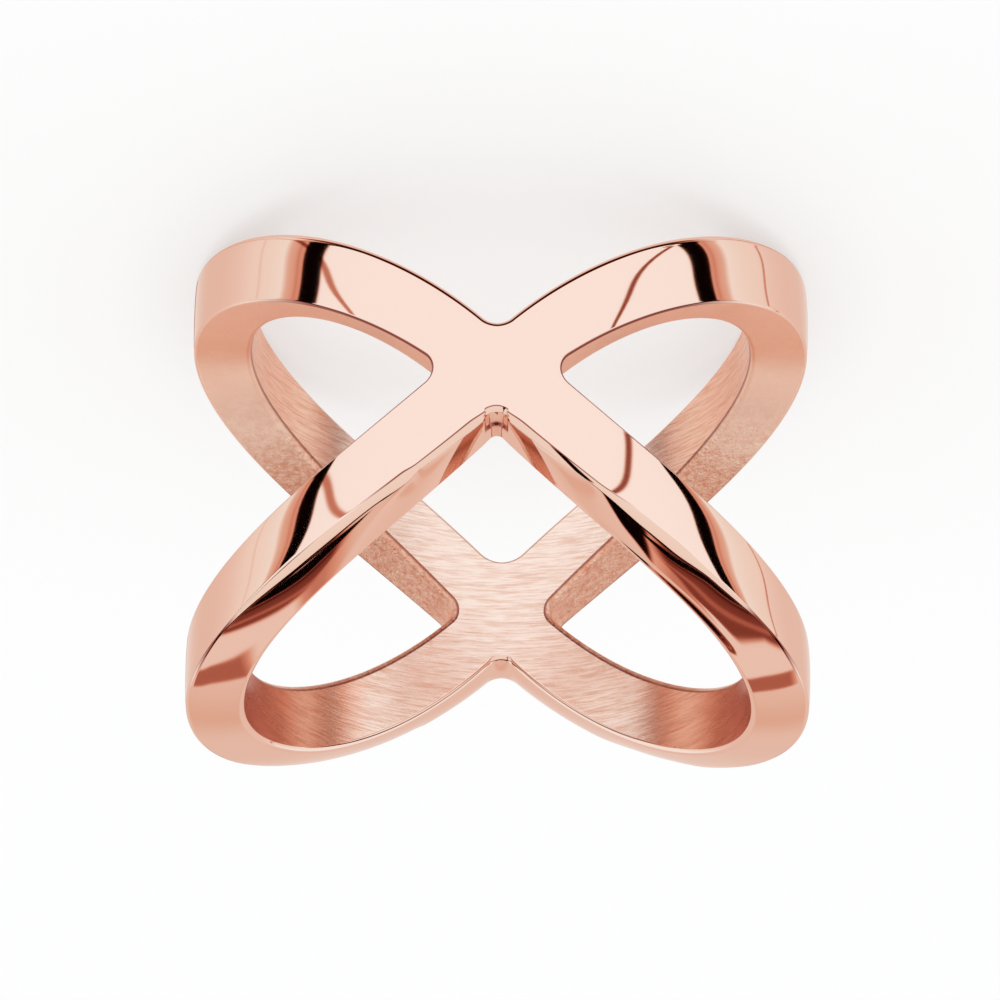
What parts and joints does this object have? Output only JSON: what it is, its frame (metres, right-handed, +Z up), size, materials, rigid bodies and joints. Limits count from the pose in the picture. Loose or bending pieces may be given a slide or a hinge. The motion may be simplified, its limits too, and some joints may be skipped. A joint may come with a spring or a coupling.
{
  "type": "crossover ring",
  "caption": "Polished rose gold finger ring whose two bands cross on top of the finger and again under it.",
  "frame": {"origin": "centre of the ring's box at its lowest level, on the surface that the ring lies on", "axes": "+Z up along the axis of the finger hole, as the ring lies on its side; -Y towards the crossing that is worn on top of the finger; +X towards one side lobe"},
  "size_m": [0.021, 0.021, 0.0159],
  "materials": {
    "rose_gold": "polished"
  },
  "bodies": {
    "root": {"ring": "rose_gold"}
  },
  "joints": []
}
